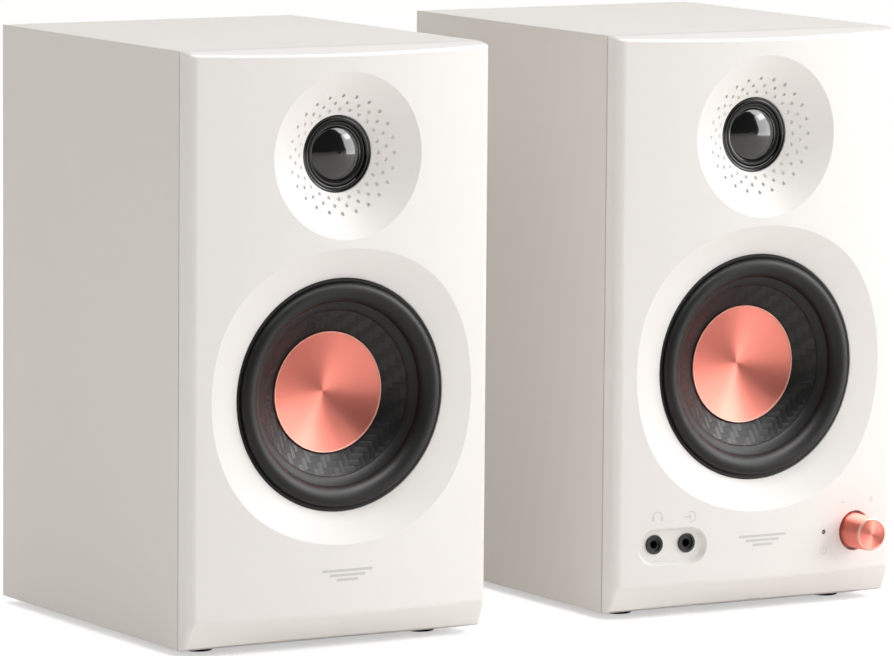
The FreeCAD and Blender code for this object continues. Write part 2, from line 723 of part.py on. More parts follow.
def crossover_board():
    """The passive speaker's filter: board, coil and capacitors."""
    body = new_body("left", "crossover_board", y="cab_depth - wall_thick", z="plate_middle - 38")
    block_back(body, "-1.6", "80", "36", "1.6")
    for x, radius, length in (("-24", "12", "14"), ("6", "7", "24"), ("26", "6", "20")):
        disc_back(body, "-1.6 - %s" % length, radius, length, x=x)


def amp_plate():
    """The metal plate on the powered speaker's back, with an opening for every connector."""
    body = new_body("right", "amp_plate", y="cab_depth", z="plate_middle")
    plate = block_back(body, "0", "plate_width", "plate_height", "plate_thick")
    rounded(body, plate, lambda edge, middle: edge.Length < SIZES["plate_thick"] + 0.01, "4")
    for x, z in SOCKETS["trs_sockets"]:
        bore_back(body, "0", "5", "plate_thick", x=x, z=z)
    for x, z in SOCKETS["rca_sockets"]:
        bore_back(body, "0", "4.4", "plate_thick", x=x, z=z)
    for x, z in TONE_KNOBS.values():
        bore_back(body, "0", "3.6", "plate_thick", x=x, z=z)
    for x, z in PLATE_HOLES:
        bore_back(body, "0", "screw_radius", "plate_thick", x=x, z=z)
    window_back(body, "0", "post_width - 12", "post_height - 12", "plate_thick", x=TERMINAL[0], z=TERMINAL[1])
    window_back(body, "0", "13.4", "21.4", "plate_thick", x=ROCKER[0], z=ROCKER[1])
    window_back(body, "0", "22", "12", "plate_thick", x=INLET[0], z=INLET[1])


def sockets(name, radius, bore, reach, nut):
    """A row of like sockets standing on the amplifier board and reaching through the plate."""
    body = new_body("right", name, y="board_depth + 1.6", z="plate_middle")
    through = "cab_depth + plate_thick - board_depth - 1.6"
    for x, z in SOCKETS[name]:
        disc_back(body, "0", radius, "%s + %s" % (through, reach), x=x, z=z)
        disc_back(body, through, nut, "1.8", x=x, z=z)
    for x, z in SOCKETS[name]:
        bore_back(body, "6", bore, "%s + %s" % (through, reach), x=x, z=z)


def tone_knob(name, place):
    """A rear tone control: fluted cap and shaft in one piece."""
    x, z = place
    body = new_body("right", name, x=x, y="cab_depth + plate_thick", z="plate_middle + (%s)" % z)
    disc_back(body, "board_depth - cab_depth + 6", "shaft_radius", "cab_depth - board_depth + 4")
    disc_back(body, "1.5", "6.2", "11")
    flute = front_sketch(body, "4")
    ring(flute, "6.6", "0", "0.9")
    groove = cut(body, flute, "9")
    repeated(body, groove, flute, 18)


def amp_board():
    """The amplifier board with heat sink, transformer, capacitors and two tone controls."""
    body = new_body("right", "amp_board", y="board_depth", z="plate_middle")
    block_back(body, "0", "80", "112", "1.6")
    block_back(body, "-30", "34", "30", "30", x="22", z="-40")
    block_back(body, "-22", "50", "14", "22", x="-14", z="20")
    for x in ("-32", "-14"):
        disc_back(body, "-24", "8", "24", x=x, z="-40")
    for x, z in TONE_KNOBS.values():
        block_back(body, "1.6", "12", "12", "8", x=x, z=z)
        disc_back(body, "9.6", "3.4", "cab_depth - board_depth - 9.6 + plate_thick", x=x, z=z)
    for x, z in TONE_KNOBS.values():
        bore_back(body, "4", "shaft_radius + run_gap", "cab_depth - board_depth", x=x, z=z)
    for z in ("52", "-52"):
        block_back(body, "1.6", "80", "5", "cab_depth - board_depth - 1.6", z=z)


def power_inlet():
    """The two-pin mains inlet: shrouded socket with two pins."""
    body = new_body("right", "power_inlet", x=INLET[0], y="cab_depth", z="plate_middle + (%s)" % INLET[1])
    block_back(body, "-12", "22", "12", "14")
    block_back(body, "plate_thick", "26", "16", "2")
    window_back(body, "-9", "16", "8", "15")
    for x in ("-4.3", "4.3"):
        disc_back(body, "-9", "1.2", "9", x=x)


def power_rocker():
    """The on/off rocker: two-slope key on a crosswise pin."""
    body = new_body("right", "power_rocker", x=ROCKER[0], y="cab_depth", z="plate_middle + (%s)" % ROCKER[1])
    key = outline(sketch_on(body, "YZ"), [
        ("-5", "-3"), ("-1", "-8.4"), ("5.6", "-8.4"), ("3.6", "0"), ("5.6", "8.4"), ("-1", "8.4"), ("-5", "3"),
    ])
    extrude_both_ways(body, key, "10.4")
    extrude_both_ways(body, ring(sketch_on(body, "YZ"), "0", "0", "pin_radius"), "13")


def rocker_frame():
    """The rocker's housing, clipped in the plate."""
    body = new_body("right", "rocker_frame", x=ROCKER[0], y="cab_depth", z="plate_middle + (%s)" % ROCKER[1])
    block_back(body, "-8", "13.4", "21.4", "10")
    block_back(body, "plate_thick", "16", "24", "1.6")
    window_back(body, "-7", "10.8", "18.6", "11")
    cut_both_ways(body, ring(sketch_on(body, "YZ"), "0", "0", "pin_radius + run_gap"), "13")


# Front controls

def front_board():
    """The board behind the right front, with the volume control's can and bushing."""
    body = new_body("right", "front_board", y="2", z="control_height")
    block_back(body, "0", "101", "20", "1.6", z="-1.5")
    block_back(body, "-6", "14", "14", "6", x="knob_offset", z="-knob_drop")
    disc_back(body, "-9.6", "4.6", "4", x="knob_offset", z="-knob_drop")
    bore_back(body, "-9.6", "shaft_radius + run_gap", "9.2", x="knob_offset", z="-knob_drop")


def front_jacks():
    """The headphone and line jacks in the oblong recess, each with a countersunk collar."""
    body = new_body("right", "front_jacks", z="control_height")
    for x, floor in jack_places():
        disc_back(body, "-%s - 0.5" % floor, "jack_collar", "%s - 5.5" % floor, x=x)
        block_back(body, "-6", "12", "10", "8", x=x)
    for x, floor in jack_places():
        bore_back(body, "-%s - 0.5" % floor, "2.9", "0.8", x=x)
        bore_back(body, "-%s" % floor, "jack_bore", "%s" % floor, x=x)


def led_lens():
    """The power lamp's light pipe."""
    body = new_body("right", "led_lens", x="led_offset", z="control_height + 0.2")
    disc_back(body, "-15.3", "1", "17.3")


def volume_shaft():
    """The volume control's shaft."""
    body = new_body("right", "volume_shaft", x="knob_offset", z="control_height - knob_drop")
    disc_back(body, "-22", "shaft_radius", "23")


def volume_knob():
    """The turned metal knob, slightly tapered, with a bright bevel round its end."""
    body = new_body("right", "volume_knob", x="knob_offset", z="control_height - knob_drop")
    turned(body, [
        ("0", "-knob_end"), ("knob_radius - 1", "-knob_end"), ("knob_radius - 0.3", "-knob_end + 0.7"),
        ("knob_radius", "-8.8"), ("knob_radius - 0.6", "-8.4"), ("shaft_radius", "-8.4"),
        ("shaft_radius", "-22"), ("0", "-22"),
    ])


# Places on the powered speaker's rear plate, across and up from its middle

SOCKETS = {
    "trs_sockets": [("-30", "39"), ("-10", "39")],
    "rca_sockets": [("14", "39"), ("31", "39")],
}
TONE_KNOBS = {"treble_knob": ("-24", "16"), "bass_knob": ("24", "16")}
TERMINAL = ("-20", "-22")
ROCKER = ("24", "-12")
INLET = ("24", "-39")

SHARED = [cabinet, feet, rear_panel, port_tube, damping_pad, screws, front_baffle, woofer_basket,
          woofer_surround, woofer_cone, dust_cap, voice_coil, spider, woofer_magnet, woofer_poles,
          tweeter_frame, tweeter_roll, tweeter_dome, tweeter_motor]
POWERED = [amp_plate, plate_screws, amp_board, power_inlet, power_rocker, rocker_frame, front_board, front_jacks,
           led_lens, volume_shaft, volume_knob]

for side_name in SIDES:
    for build in SHARED:
        build(side_name)
for build in POWERED:
    build()
sockets("trs_sockets", "4.9", "3.2", "0", "6.2")
sockets("rca_sockets", "4.2", "1.7", "8", "5.4")
for knob_name, knob_place in TONE_KNOBS.items():
    tone_knob(knob_name, knob_place)
spring_terminal("right", TERMINAL[0], "plate_middle + (%s)" % TERMINAL[1], "cab_depth + plate_thick")
spring_terminal("left", "0", "plate_middle", "cab_depth")
crossover_board()

doc.recompute()
bodies = [item for item in doc.Objects if item.TypeId == "PartDesign::Body"]
for item in doc.Objects:
    if "Invalid" in item.State or "Error" in item.State:
        raise ValueError("failed feature: " + item.Name)
os.makedirs("parts", exist_ok=True)
for body in bodies:
    if body.Shape.isNull() or not body.Shape.isValid() or not body.Shape.Solids:
        raise ValueError("bad shape: " + body.Label)
    body.Shape.exportStep("parts/" + body.Label + ".step")
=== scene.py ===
import json
import math

import bmesh
import bpy
from mathutils import Matrix, Vector
from mathutils.bvhtree import BVHTree
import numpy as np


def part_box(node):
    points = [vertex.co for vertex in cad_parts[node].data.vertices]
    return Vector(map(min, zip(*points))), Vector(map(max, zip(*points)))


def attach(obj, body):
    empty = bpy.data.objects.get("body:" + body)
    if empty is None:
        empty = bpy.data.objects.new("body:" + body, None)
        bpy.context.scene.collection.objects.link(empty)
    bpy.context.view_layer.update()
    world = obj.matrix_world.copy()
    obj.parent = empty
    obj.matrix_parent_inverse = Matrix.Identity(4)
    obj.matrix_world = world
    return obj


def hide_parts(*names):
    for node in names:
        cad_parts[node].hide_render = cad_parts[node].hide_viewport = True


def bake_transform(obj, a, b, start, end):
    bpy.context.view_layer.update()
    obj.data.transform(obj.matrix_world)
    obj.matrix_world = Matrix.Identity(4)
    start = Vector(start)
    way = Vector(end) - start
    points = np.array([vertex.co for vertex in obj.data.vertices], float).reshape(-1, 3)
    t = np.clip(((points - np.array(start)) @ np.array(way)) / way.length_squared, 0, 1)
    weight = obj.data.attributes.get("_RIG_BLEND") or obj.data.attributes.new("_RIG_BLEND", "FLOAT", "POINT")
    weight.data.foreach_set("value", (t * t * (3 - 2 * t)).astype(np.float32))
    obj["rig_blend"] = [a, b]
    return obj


# Looks for a pair of desktop monitor speakers.  Metres; fronts toward -Y, +Z up.

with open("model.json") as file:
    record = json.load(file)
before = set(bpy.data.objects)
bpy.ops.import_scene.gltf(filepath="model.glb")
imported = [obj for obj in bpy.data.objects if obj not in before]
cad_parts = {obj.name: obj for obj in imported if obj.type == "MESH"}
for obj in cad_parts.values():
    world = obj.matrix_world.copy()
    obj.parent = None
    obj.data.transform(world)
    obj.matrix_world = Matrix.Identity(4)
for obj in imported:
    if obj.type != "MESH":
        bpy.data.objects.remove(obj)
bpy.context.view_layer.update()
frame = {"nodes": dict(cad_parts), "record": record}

MM = 0.001
SIDES = ("left", "right")


def middle(node):
    """Centre of a CAD node's box."""
    low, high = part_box(node)
    return (low + high) / 2


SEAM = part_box("left_cabinet")[0].y
FLOOR = 0.0


# ---------------------------------------------------------------- material helpers

class Shader:
    """A node material that is put together step by step."""

    def __init__(self, name):
        self.material = bpy.data.materials.new(name)
        self.material.use_nodes = True
        self.tree = self.material.node_tree
        self.surface = self.tree.nodes["Principled BSDF"]

    def node(self, kind, **settings):
        made = self.tree.nodes.new("ShaderNode" + kind)
        for key, value in settings.items():
            setattr(made, key, value)
        return made

    def join(self, source, target):
        self.tree.links.new(source, target)

    def put(self, socket, value):
        """Set an input to a number, a colour or another node's output."""
        if isinstance(value, bpy.types.NodeSocket):
            self.join(value, socket)
        else:
            socket.default_value = value

    def math(self, operation, first, second=0.0, clamp=False):
        made = self.node("Math", operation=operation, use_clamp=clamp)
        self.put(made.inputs[0], first)
        self.put(made.inputs[1], second)
        return made.outputs[0]

    def mix(self, share, first, second):
        made = self.node("Mix", data_type="RGBA")
        self.put(made.inputs[0], share)
        self.put(made.inputs[6], first)
        self.put(made.inputs[7], second)
        return made.outputs[2]

    def place(self):
        """Coordinates of the piece, in metres."""
        return self.node("TexCoord").outputs["Object"]

    def parts(self, vector):
        made = self.node("SeparateXYZ")
        self.join(vector, made.inputs[0])
        return made.outputs

    def noise(self, scale, detail=3.0, rough=0.5, vector=None):
        made = self.node("TexNoise")
        self.join(vector or self.place(), made.inputs["Vector"])
        made.inputs["Scale"].default_value = scale
        made.inputs["Detail"].default_value = detail
        made.inputs["Roughness"].default_value = rough
        return made.outputs["Fac"]

    def ramp(self, value, low, high, start=0.0, end=1.0):
        made = self.node("MapRange")
        self.put(made.inputs["Value"], value)
        self.put(made.inputs["From Min"], low)
        self.put(made.inputs["From Max"], high)
        self.put(made.inputs["To Min"], start)
        self.put(made.inputs["To Max"], end)
        return made.outputs[0]

    def bump(self, height, depth, edge=0.0):
        """Relief of a given depth in metres, over edges softened by a given radius."""
        made = self.node("Bump")
        made.inputs["Distance"].default_value = depth
        self.put(made.inputs["Height"], height)
        if edge:
            soft = self.node("Bevel", samples=4)
            soft.inputs["Radius"].default_value = edge
            self.join(soft.outputs[0], made.inputs["Normal"])
        self.join(made.outputs[0], self.surface.inputs["Normal"])
        return made.outputs[0]

    def set(self, **inputs):
        """Set inputs of the surface; an underscore in a name stands for a space."""
        for key, value in inputs.items():
            self.put(self.surface.inputs[key.replace("_", " ")], value)
        return self


def colour(red, green, blue):
    return (red, green, blue, 1.0)


def shade(tint, factor):
    return colour(tint[0] * factor, tint[1] * factor, tint[2] * factor)


# ---------------------------------------------------------------- materials

def grained(name, tint, rough, grain, depth, edge=0.0, swing=0.04, **more):
    """A moulded or wrapped surface: fine grain, a little tone variation, soft edges."""
    look = Shader(name)
    fine = look.noise(grain, 2.0, 0.6)
    broad = look.noise(9.0, 2.0)
    tone = look.mix(broad, shade(tint, 1.0 - swing), shade(tint, 1.0 + swing * 0.5))
    look.set(Base_Color=tone, Roughness=look.ramp(fine, 0.3, 0.7, rough - 0.05, rough + 0.05), **more)
    look.bump(fine, depth, edge)
    return look.material


def white_wrap():
    """Off-white vinyl wrap over board, with a faint leathery grain."""
    return grained("white_wrap", (0.79, 0.76, 0.725), 0.5, 2600.0, 0.00003, edge=0.0005, swing=0.02)


def white_moulding():
    """Satin off-white moulding with a very fine spark-eroded texture."""
    return grained("white_moulding", (0.85, 0.828, 0.807), 0.4, 5200.0, 0.000012, edge=0.0006, swing=0.012,
                   Specular_IOR_Level=0.35)


def black_rubber():
    """Satin rubber."""
    return grained("black_rubber", (0.006, 0.006, 0.0058), 0.47, 1800.0, 0.00003, swing=0.3,
                   Specular_IOR_Level=0.38)


def black_plastic():
    return grained("black_plastic", (0.012, 0.012, 0.0125), 0.38, 2200.0, 0.00003, edge=0.0003, swing=0.2)


def black_gloss():
    """Lacquered black with slow ripples in the gloss."""
    look = Shader("black_gloss")
    ripple = look.noise(160.0, 1.0)
    look.set(Base_Color=colour(0.003, 0.003, 0.003), Roughness=look.ramp(ripple, 0.2, 0.8, 0.08, 0.16),
             Coat_Weight=0.9, Coat_Roughness=0.05)
    look.bump(ripple, 0.00001, 0.0002)
    return look.material


def black_ring():
    """Semi-gloss black enamel."""
    return grained("black_ring", (0.003, 0.003, 0.003), 0.13, 900.0, 0.00001, edge=0.0002, swing=0.2,
                   Specular_IOR_Level=0.5)


def black_metal():
    return grained("black_metal", (0.03, 0.03, 0.032), 0.45, 3000.0, 0.00004, edge=0.0004, swing=0.2,
                   Metallic=0.3)


def woven_cone():
    """Twill of glossy dark tows under clear resin. One set of tows is painted a shade lighter as painted
    sheen, and each tow is painted near black along its edges as painted shade where the tows meet.
    """
    look = Shader("woven_cone")
    x, _, z = look.parts(look.place())
    tow = 0.0024
    across = look.math("DIVIDE", x, tow)
    along = look.math("DIVIDE", z, tow)
    column = look.math("FLOOR", across)
    row = look.math("FLOOR", along)
    phase = look.math("FLOORED_MODULO", look.math("SUBTRACT", column, row), 4.0)
    warp = look.math("LESS_THAN", phase, 1.5)
    arch_x = look.math("SINE", look.math("MULTIPLY", look.math("FRACT", across), math.pi))
    arch_z = look.math("SINE", look.math("MULTIPLY", look.math("FRACT", along), math.pi))
    crown = look.node("Mix")
    look.put(crown.inputs[0], warp)
    look.put(crown.inputs[2], arch_z)
    look.put(crown.inputs[3], arch_x)
    height = crown.outputs[0]
    # Painted sheen: the warp tows get a slightly lighter copy of the weft's black.
    tone = look.mix(warp, colour(0.005, 0.005, 0.005), colour(0.009, 0.009, 0.0095))
    # Painted shade: near black where a tow's arch falls to its edges, in the creases between tows.
    tone = look.mix(look.ramp(height, 0.0, 0.3), colour(0.003, 0.003, 0.003), tone)
    look.set(Base_Color=tone, Roughness=look.mix(warp, colour(0.48, 0.48, 0.48), colour(0.34, 0.34, 0.34)),
             Specular_IOR_Level=0.4)
    look.bump(look.math("POWER", height, 0.5), 0.00007)
    return look.material


def turned_metal(name, tint, rough, rings, strength=0.9):
    """Spun metal: fine concentric lines and a highlight that fans out from the axis."""
    look = Shader(name)
    spread = look.node("Tangent", direction_type="RADIAL", axis="Y")
    look.join(spread.outputs[0], look.surface.inputs["Tangent"])
    centre = look.node("TexCoord").outputs["Generated"]
    shift = look.node("VectorMath", operation="SUBTRACT")
    look.join(centre, shift.inputs[0])
    shift.inputs[1].default_value = (0.5, 0.5, 0.5)
    flat = look.node("VectorMath", operation="MULTIPLY")
    look.join(shift.outputs[0], flat.inputs[0])
    flat.inputs[1].default_value = (1.0, 0.0, 1.0)
    reach = look.node("VectorMath", operation="LENGTH")
    look.join(flat.outputs[0], reach.inputs[0])
    radius = look.node("CombineXYZ")
    look.join(reach.outputs["Value"], radius.inputs[0])
    lines = look.noise(rings, 3.0, 0.7, vector=radius.outputs[0])
    tone = look.mix(lines, shade(tint, 0.93), shade(tint, 1.04))
    look.set(Base_Color=tone, Metallic=1.0, Roughness=look.ramp(lines, 0.3, 0.7, rough - 0.04, rough + 0.04),
             Anisotropic=strength, Anisotropic_Rotation=0.25)
    look.bump(lines, 0.000006)
    return look.material


def copper_spun():
    return turned_metal("copper_spun", (0.88, 0.285, 0.225), 0.47, 90.0)


def copper_rim_and_highlight():
    """The polished bevel at the edge of a copper piece, in a paler, partly diffuse copper that also paints
    its highlight.
    """
    # Painted highlight: a paler, half-diffuse copper that shows a bright line under any light.
    return plain_metal("copper_rim_and_highlight", (0.95, 0.50, 0.42), 0.35, metallic=0.4)


def plain_metal(name, tint, rough, grain=700.0, metallic=1.0):
    """Plated or pressed metal with faint scuffs."""
    look = Shader(name)
    scuff = look.noise(grain, 4.0, 0.7)
    look.set(Base_Color=look.mix(scuff, shade(tint, 0.85), shade(tint, 1.05)), Metallic=metallic,
             Roughness=look.ramp(scuff, 0.3, 0.7, rough - 0.08, rough + 0.08))
    look.bump(scuff, 0.00001, 0.0002)
    return look.material


def steel():
    return plain_metal("steel", (0.55, 0.55, 0.56), 0.32)


def nickel():
    return plain_metal("nickel", (0.78, 0.76, 0.72), 0.2)


def coil_copper():
    return plain_metal("coil_copper", (0.80, 0.42, 0.22), 0.35, 3000.0)


def ferrite():
    return grained("ferrite", (0.05, 0.05, 0.055), 0.6, 1500.0, 0.0001, swing=0.3)


def cloth(name, tint):
    """Coarse plain-woven cloth, painted darker in the low gaps between threads as painted shade."""
    look = Shader(name)
    x, _, z = look.parts(look.place())
    pitch = math.pi / 0.0009
    weft = look.math("ABSOLUTE", look.math("SINE", look.math("MULTIPLY", x, pitch)))
    warp = look.math("ABSOLUTE", look.math("SINE", look.math("MULTIPLY", z, pitch)))
    height = look.math("MULTIPLY", weft, warp)
    # Painted shade: the low gaps between threads get a darker copy of the tint.
    look.set(Base_Color=look.mix(height, shade(tint, 0.55), shade(tint, 1.0)), Roughness=0.8)
    look.bump(height, 0.0002)
    return look.material


def spider_cloth():
    return cloth("spider_cloth", (0.62, 0.46, 0.2))


def wadding():
    """Fluffy polyester wadding."""
    return grained("wadding", (0.8, 0.8, 0.78), 0.95, 140.0, 0.002, swing=0.2, Sheen_Weight=0.5)


def circuit_board():
    """Green solder mask with faint tracks."""
    look = Shader("circuit_board")
    tracks = look.node("TexVoronoi", feature="DISTANCE_TO_EDGE", distance="MANHATTAN")
    look.join(look.place(), tracks.inputs["Vector"])
    tracks.inputs["Scale"].default_value = 260.0
    line = look.ramp(tracks.outputs["Distance"], 0.02, 0.06)
    look.set(Base_Color=look.mix(line, colour(0.10, 0.28, 0.16), colour(0.02, 0.11, 0.06)), Roughness=0.35)
    look.bump(line, 0.00003)
    return look.material


def lamp_plastic():
    """The lamp's smoked light pipe: a dark ring round a paler core."""
    look = Shader("lamp_plastic")
    centre = middle("right_led_lens")
    x, _, z = look.parts(look.place())
    across = look.math("SUBTRACT", x, centre.x)
    up = look.math("SUBTRACT", z, centre.z)
    reach = look.math("SQRT", look.math("ADD", look.math("MULTIPLY", across, across),
                                        look.math("MULTIPLY", up, up)))
    core = look.ramp(reach, 0.00025, 0.00045)
    look.set(Base_Color=look.mix(core, colour(0.35, 0.35, 0.34), colour(0.01, 0.01, 0.01)), Roughness=0.2,
             Coat_Weight=0.5)
    look.bump(look.noise(900.0), 0.00001)
    return look.material


def red_plastic():
    return grained("red_plastic", (0.55, 0.02, 0.015), 0.3, 1500.0, 0.00002, edge=0.0003, swing=0.1)


def print_ink(name, tint):
    """Thin screen-printed ink, slightly uneven."""
    look = Shader(name)
    spots = look.noise(5200.0)
    look.set(Base_Color=look.mix(spots, shade(tint, 0.93), shade(tint, 1.04)), Roughness=0.55)
    look.bump(spots, 0.000005)
    return look.material


FINISHES = {
    "white_wrap": white_wrap(),
    "white_moulding": white_moulding(),
    "black_rubber": black_rubber(),
    "black_plastic": black_plastic(),
    "black_gloss": black_gloss(),
    "black_metal": black_metal(),
    "woven_cone": woven_cone(),
    "copper_metal": copper_spun(),
    "steel": steel(),
    "nickel": nickel(),
    "coil_copper": coil_copper(),
    "ferrite": ferrite(),
    "cloth": spider_cloth(),
    "wadding": wadding(),
    "circuit_board": circuit_board(),
    "lamp_plastic": lamp_plastic(),
    "red_plastic": red_plastic(),
}
# Polished copper bevel for the cap and knob; its pale colour is also painted highlight.
COPPER_RIM_AND_HIGHLIGHT = copper_rim_and_highlight()
BLACK_RING = black_ring()
GREY_INK = print_ink("grey_ink", (0.64, 0.63, 0.62))
PALE_INK = print_ink("pale_ink", (0.70, 0.675, 0.66))
WHITE_INK = print_ink("white_ink", (0.75, 0.75, 0.75))


def finish_cad_nodes():
    """Give every CAD node the finish of its slot."""
    for part in frame["record"]["subparts"]:
        shown = frame["nodes"][part["node"]]
        shown.data.materials.clear()
        shown.data.materials.append(FINISHES[part["material_slot"]])


# ---------------------------------------------------------------- mesh helpers

def finished(bm, name, body, materials, replaces=(), sharp=35.0):
    """Turn a bmesh into a piece that rides on a body and stands for CAD nodes."""
    mesh = bpy.data.meshes.new(name)
    bmesh.ops.remove_doubles(bm, verts=bm.verts, dist=1e-7)
    bmesh.ops.recalc_face_normals(bm, faces=bm.faces)
    bm.to_mesh(mesh)
    bm.free()
    mesh.shade_smooth()
    mesh.set_sharp_from_angle(angle=math.radians(sharp))
    piece = bpy.data.objects.new(name, mesh)
    bpy.context.collection.objects.link(piece)
    for material in materials:
        mesh.materials.append(material)
    if body:
        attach(piece, body)
    if replaces:
        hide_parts(*replaces)
    return piece


def spun(bm, centre, profile, steps=144, closed=True, index=0):
    """Turn (radius, depth) points, in millimetres from the seam, about an axis along Y."""
    rings = []
    for step in range(steps):
        turn = 2 * math.pi * step / steps
        across, up = MM * math.cos(turn), MM * math.sin(turn)
        rings.append([bm.verts.new((centre.x + r * across, SEAM + y * MM, centre.z + r * up))
                      for r, y in profile])
    count = len(profile)
    last = count if closed else count - 1
    for step in range(steps):
        here = rings[step]
        there = rings[(step + 1) % steps]
        for item in range(last):
            after = (item + 1) % count
            face = bm.faces.new((here[item], here[after], there[after], there[item]))
            face.material_index = index


def curve(points, steps=6):
    """A smooth line through a few points."""
    line = []
    ends = [points[0]] + list(points) + [points[-1]]
    for number in range(1, len(ends) - 2):
        a, b, c, d = (Vector(ends[number + k]) for k in (-1, 0, 1, 2))
        for step in range(steps):
            t = step / steps
            line.append(tuple(0.5 * (2 * b + (c - a) * t + (2 * a - 5 * b + 4 * c - d) * t * t
                                     + (3 * b - a - 3 * c + d) * t ** 3)))
    line.append(tuple(points[-1]))
    return line


def sheet(line, thick):
    """A closed profile: a front line and the same line set back."""
    return list(line) + [(r, y + thick) for r, y in reversed(line)]


def arc(centre_r, centre_y, radius, start, end, steps=12):
    """Points on an arc in the profile plane, angles in degrees."""
    points = []
    for step in range(steps + 1):
        turn = math.radians(start + (end - start) * step / steps)
        points.append((centre_r + radius * math.cos(turn), centre_y + radius * math.sin(turn)))
    return points


# ---------------------------------------------------------------- drivers

# Millimetres; depths are counted from the seam, minus toward the front.
CONE_EDGE = 38.2
CONE_EDGE_DEPTH = -7.4
CONE_SLOPE = 0.656


def cone_depth(radius):
    """Depth of the cone's front skin behind the seam."""
    return CONE_EDGE_DEPTH + (CONE_EDGE - radius) * CONE_SLOPE


def radial_blend(piece, fixed, moving, centre, outer, inner):
    """Bend a ring between the body that holds its outer edge and the one that moves its inner edge."""
    held = centre + Vector((outer * MM, 0, 0))
    carried = centre + Vector((inner * MM, 0, 0))
    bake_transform(piece, fixed, moving, start=tuple(held), end=tuple(carried))
    weights = piece.data.attributes["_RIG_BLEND"].data
    for vertex, weight in zip(piece.data.vertices, weights):
        reach = math.hypot(vertex.co.x - centre.x, vertex.co.z - centre.z) / MM
        share = min(max((outer - reach) / (outer - inner), 0.0), 1.0)
        weight.value = share * share * (3 - 2 * share)


def surround(side, centre):
    """The rubber half-roll with a flat lip on either side."""
    bm = bmesh.new()
    roll = [(42.35 + 4.15 * math.cos(math.radians(a)), -8.55 - 0.95 * math.cos(math.radians(a))
             - 3.9 * math.sin(math.radians(a))) for a in range(0, 181, 9)]
    lip = [(CONE_EDGE - 0.5, cone_depth(CONE_EDGE - 0.5) - 0.45), (34.8, cone_depth(34.8) - 0.5)]
    line = [(48.0, -9.7), (47.0, -9.75)] + roll + lip + [(34.3, cone_depth(34.3) - 0.2)]
    spun(bm, centre, sheet(line, 0.5), 180)
    name = side + "_woofer_surround"
    piece = finished(bm, name + "_rubber", None, [FINISHES["black_rubber"]], sharp=50)
    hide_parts(name)
    radial_blend(piece, side + "_speaker", side + "_woofer_moving", centre, 46.5, CONE_EDGE)


def cone(side, centre):
    """The woven cone."""
    bm = bmesh.new()
    line = [(CONE_EDGE, cone_depth(CONE_EDGE)), (30.0, cone_depth(30.0)), (20.0, cone_depth(20.0)),
            (13.0, cone_depth(13.0))]
    spun(bm, centre, sheet(line, 0.7), 180)
    finished(bm, side + "_woofer_cone_weave", side + "_woofer_moving",
             [FINISHES["woven_cone"]], [side + "_woofer_cone"])


def dust_cap(side, centre):
    """The dished cap, spun inside, with a narrow polished bevel round it."""
    bm = bmesh.new()
    dish = curve([(0.0, 5.2), (8.0, 4.65), (16.0, 3.2), (24.5, 0.7)], 8)
    spun(bm, centre, dish, 180, closed=False)
    bevel = [(24.5, 0.7), (24.7, 0.3), (24.95, 0.2), (25.15, 0.35)]
    spun(bm, centre, bevel, 180, closed=False, index=1)
    back = [(25.15, 0.35), (25.2, 0.6), (25.2, 1.5), (16.0, 3.9), (8.0, 5.3), (0.0, 5.9)]
    spun(bm, centre, back, 180, closed=False)
    finished(bm, side + "_dust_cap_spun", side + "_woofer_moving",
             [FINISHES["copper_metal"], COPPER_RIM_AND_HIGHLIGHT], [side + "_dust_cap"], sharp=20)


def tweeter(side, centre):
    """The tweeter's face ring, roll and dome."""
    bm = bmesh.new()
    face = [(13.4, -4.6), (13.5, -5.1)] + arc(14.3, -5.3, 0.85, 180, 320, 10)
    face += arc(15.5, -5.65, 0.4, 215, 360, 6) + [(15.9, -3.0), (26.0, -3.0), (26.0, 0.0), (13.4, 0.0)]
    spun(bm, centre, face, 144)
    finished(bm, side + "_tweeter_face", side + "_speaker", [BLACK_RING],
             [side + "_tweeter_frame"], sharp=45)

    bm = bmesh.new()
    roll = [(13.9, -4.7)] + arc(12.7, -4.75, 0.75, 0, -180, 10) + [(11.75, -4.8)]
    spun(bm, centre, sheet(roll, 0.25), 144)
    piece = finished(bm, side + "_tweeter_roll_skin", None, [FINISHES["black_rubber"]])
    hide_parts(side + "_tweeter_roll")
    radial_blend(piece, side + "_speaker", side + "_tweeter_moving", centre, 13.4, 11.9)

    bm = bmesh.new()
    dome = curve([(0.0, -8.3), (4.0, -7.95), (7.6, -7.0), (10.2, -5.75), (11.1, -5.0)], 7)
    skirt = [(11.35, -4.75), (11.8, -4.8), (11.8, 3.0), (11.3, 3.0), (11.3, -4.0), (7.0, -6.2), (0.0, -7.6)]
    spun(bm, centre, dome + skirt, 144, closed=False)
    finished(bm, side + "_tweeter_dome_skin", side + "_tweeter_moving",
             [FINISHES["black_gloss"]], [side + "_tweeter_dome"], sharp=40)


def volume_knob():
    """The slightly tapered knob with a polished bevel round its spun end."""
    low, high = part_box("right_volume_knob")
    centre = (low + high) / 2
    start = (low.y - SEAM) / MM
    end = (high.y - SEAM) / MM
    radius = (high.x - low.x) / 2 / MM
    bm = bmesh.new()
    face = [(0.0, start + 0.25), (radius - 1.3, start + 0.25), (radius - 1.15, start)]
    spun(bm, centre, face, 128, closed=False)
    edge = [(radius - 1.15, start), (radius - 0.45, start + 0.35), (radius - 0.3, start + 0.7)]
    spun(bm, centre, edge, 128, closed=False, index=1)
    flank = [(radius - 0.3, start + 0.7), (radius, end - 0.5), (radius - 0.3, end), (3.0, end),
             (0.0, end - 8)]
    spun(bm, centre, flank, 128, closed=False)
    finished(bm, "right_volume_knob_metal", "volume_control",
             [FINISHES["copper_metal"], COPPER_RIM_AND_HIGHLIGHT], ["right_volume_knob"], sharp=18)


# ---------------------------------------------------------------- printed marks

INK_THICK = 0.04 * MM
RAY_RUN = 0.4


